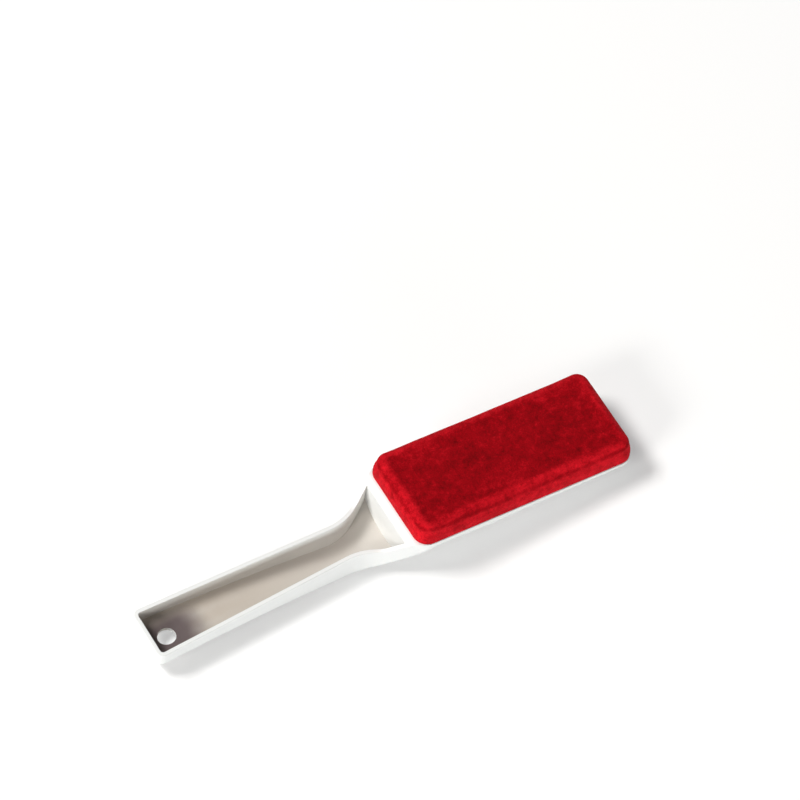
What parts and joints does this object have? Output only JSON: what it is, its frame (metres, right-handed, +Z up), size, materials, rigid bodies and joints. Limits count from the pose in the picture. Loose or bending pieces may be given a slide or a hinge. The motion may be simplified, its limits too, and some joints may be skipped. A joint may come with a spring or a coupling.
{
  "type": "clothes brush",
  "caption": "Clothes brush with a trough-shaped handle, a hang hole, and a velour pad that turns on a pivot in the middle of its head.",
  "frame": {"origin": "centre of the brush's footprint, on the ground, with the brush lying on its back as in the picture", "axes": "+X from the hang hole to the tip of the head, +Z up out of the pad, Y across the brush"},
  "size_m": [0.2565, 0.053, 0.0354],
  "materials": {
    "white_plastic": "glossy injection moulding",
    "red_plastic": "semi-gloss injection moulding",
    "foam": "soft open-cell foam",
    "velour": "short slanted pile"
  },
  "bodies": {
    "handle": {"handle_shell": "white_plastic"},
    "pad": {"pad_base": "red_plastic", "foam_cushion": "foam", "velour_cover": "velour", "pivot_button": "red_plastic"}
  },
  "joints": [
    {"name": "pad_swivel", "type": "hinge", "parent": "handle", "child": "pad", "pos_m": [0.068, 0, 0.01855], "axis": [0.1001, 0, 0.995], "continuous": true}
  ]
}
